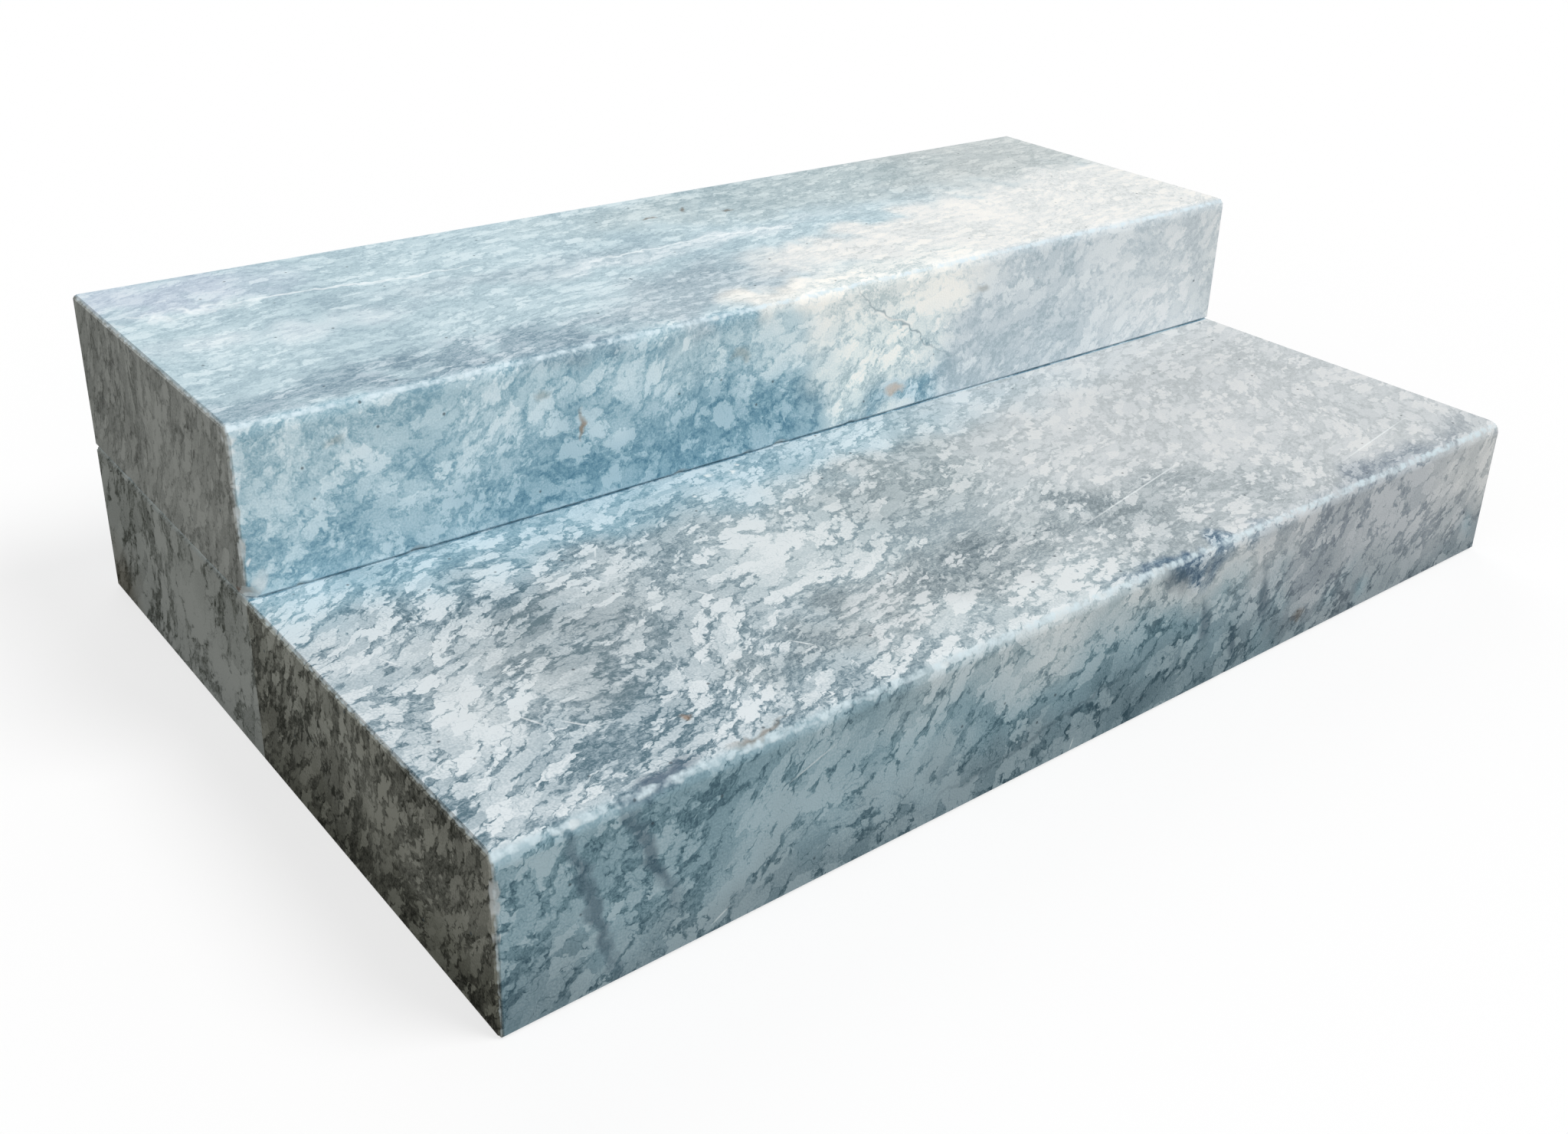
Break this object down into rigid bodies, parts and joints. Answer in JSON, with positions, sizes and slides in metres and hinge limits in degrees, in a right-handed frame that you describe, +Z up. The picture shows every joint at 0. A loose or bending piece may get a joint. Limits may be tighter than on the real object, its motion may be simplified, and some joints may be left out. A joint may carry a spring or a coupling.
{
  "type": "block step stair",
  "caption": "Low garden stair of three solid marble block steps: two blocks side by side on the ground carry a third at the back, with rounded front nosings and bevelled edges.",
  "frame": {"origin": "middle of the stair's underside, on the ground", "axes": "+X runs along the steps' length, -Y is the side one walks up from, +Z is up"},
  "size_m": [1.2, 0.755, 0.3],
  "materials": {
    "lower_front_block_marble": "honed",
    "lower_back_block_marble": "honed",
    "upper_block_marble": "honed"
  },
  "bodies": {
    "root": {"lower_front_block": "lower_front_block_marble", "lower_back_block": "lower_back_block_marble", "upper_block": "upper_block_marble"}
  },
  "joints": []
}
